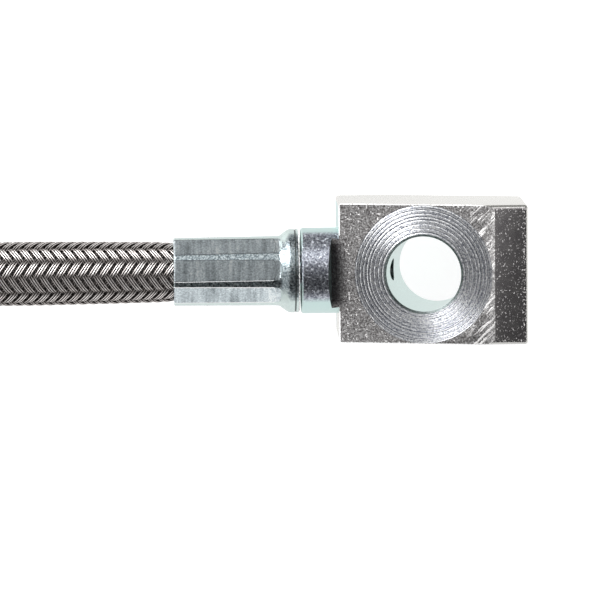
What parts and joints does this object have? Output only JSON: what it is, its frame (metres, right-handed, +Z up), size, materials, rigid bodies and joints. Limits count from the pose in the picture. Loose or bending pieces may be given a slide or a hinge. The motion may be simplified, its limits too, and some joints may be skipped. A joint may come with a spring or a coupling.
{
  "type": "braided brake hose",
  "caption": "Stainless braided brake hose with an angled block banjo fitting, crimped ferrules and a female line fitting, coiled and tied.",
  "frame": {"origin": "on the surface that the part lies on, under the middle of the block fitting with its crimped ferrule, on the hose axis", "axes": "+X along the hose axis from the hose into the block, +Y along the block's height, +Z up from the surface, through the front washer face"},
  "size_m": [0.184, 0.1135, 0.016],
  "materials": {
    "zinc_plate": "zinc plated steel, milled and turned, finely speckled",
    "ferrule_plate": "bright zinc plated steel, crimped",
    "braid": "bare stainless wire braid",
    "liner": "dark extruded fluoropolymer",
    "tie": "black moulded nylon"
  },
  "bodies": {
    "root": {"banjo_block": "zinc_plate", "caliper_ferrule": "ferrule_plate", "caliper_liner_end": "liner", "caliper_braid_end": "braid", "hose_run": "braid", "hose_coil": "braid", "hose_tail": "braid", "hose_tie": "tie", "line_ferrule": "ferrule_plate", "line_liner_end": "liner", "line_braid_end": "braid", "line_fitting": "zinc_plate"}
  },
  "joints": []
}
